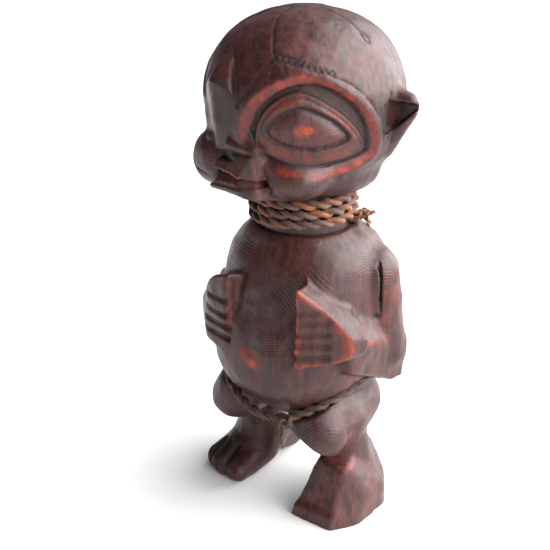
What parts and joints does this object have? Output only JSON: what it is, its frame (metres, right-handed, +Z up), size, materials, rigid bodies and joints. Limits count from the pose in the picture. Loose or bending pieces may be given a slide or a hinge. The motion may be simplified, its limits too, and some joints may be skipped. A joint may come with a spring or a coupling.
{
  "type": "fertility doll",
  "caption": "Standing carved wooden figure with a large head, hands on a round belly and bent knees, with laid fibre cords at the neck and hips.",
  "frame": {"origin": "on the standing plane, under the middle of the whole object's box", "axes": "+Z up from the soles to the crown, the figure faces -Y, its left hand is on +X"},
  "size_m": [0.0758, 0.0728, 0.1809],
  "materials": {
    "carved_wood": "dark red-brown patina, hand polished, worn to orange on the edges",
    "fibre_cord": "laid plant fibre, matt with a waxy sheen"
  },
  "bodies": {
    "root": {"carved_figure": "carved_wood", "neck_cord": "fibre_cord", "neck_cord_knot": "fibre_cord", "neck_cord_tail_left": "fibre_cord", "neck_cord_tail_right": "fibre_cord", "hip_cord": "fibre_cord", "hip_cord_knot": "fibre_cord", "hip_cord_tail": "fibre_cord"}
  },
  "joints": []
}
